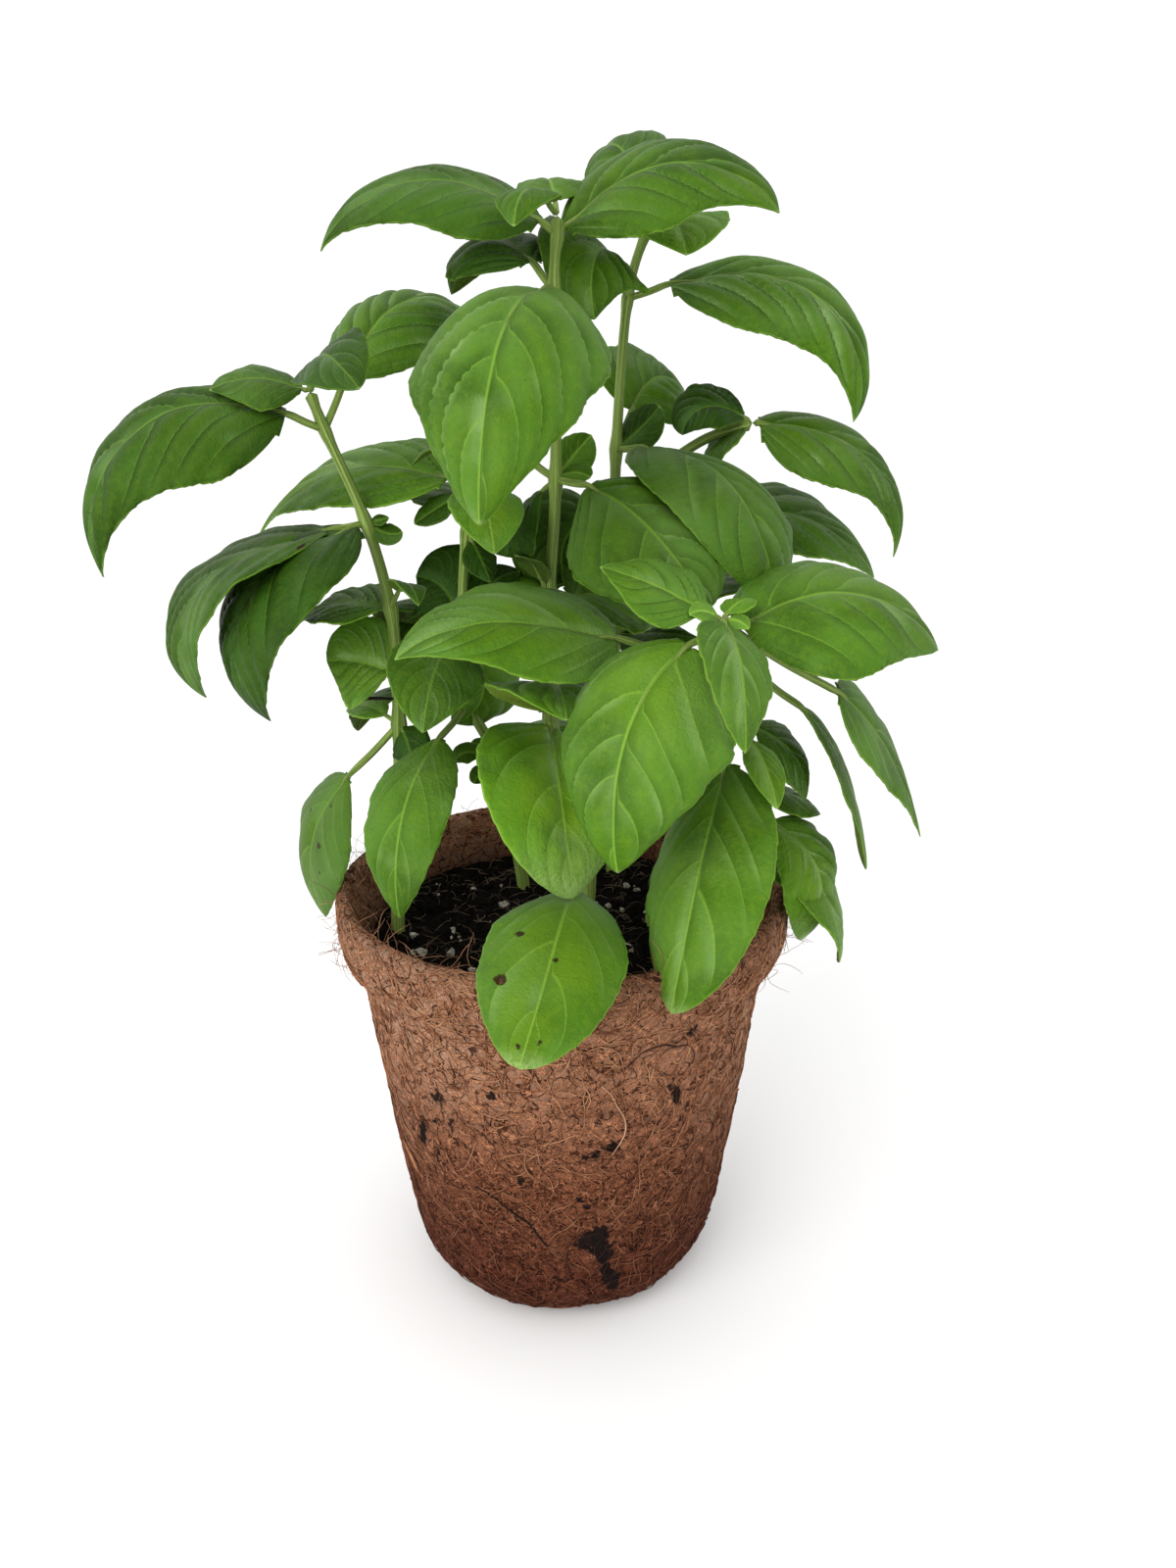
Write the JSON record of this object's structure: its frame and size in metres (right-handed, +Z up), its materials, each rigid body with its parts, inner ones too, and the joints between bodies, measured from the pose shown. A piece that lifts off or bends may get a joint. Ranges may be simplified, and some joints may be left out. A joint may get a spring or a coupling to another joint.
{
  "type": "potted basil plant",
  "caption": "Bushy basil plant with drooping oval leaves, grown in soil in a round tapered pot of pressed coir fibre.",
  "frame": {"origin": "centre of the pot's flat foot", "axes": "+Z up; -Y towards the front of the plant, which its lowest rosette faces; +X to the right seen from the front"},
  "size_m": [0.2176, 0.1829, 0.3219],
  "materials": {
    "coir": "rough fibre mat",
    "soil": "crumbly, matt",
    "basil": "soft sheen"
  },
  "bodies": {
    "root": {"coir_pot": "coir", "potting_soil": "soil", "leafy_stem_left": "basil", "leafy_stem_inner_left": "basil", "leafy_stem_centre": "basil", "leafy_stem_back": "basil", "leafy_stem_front": "basil"}
  },
  "joints": []
}
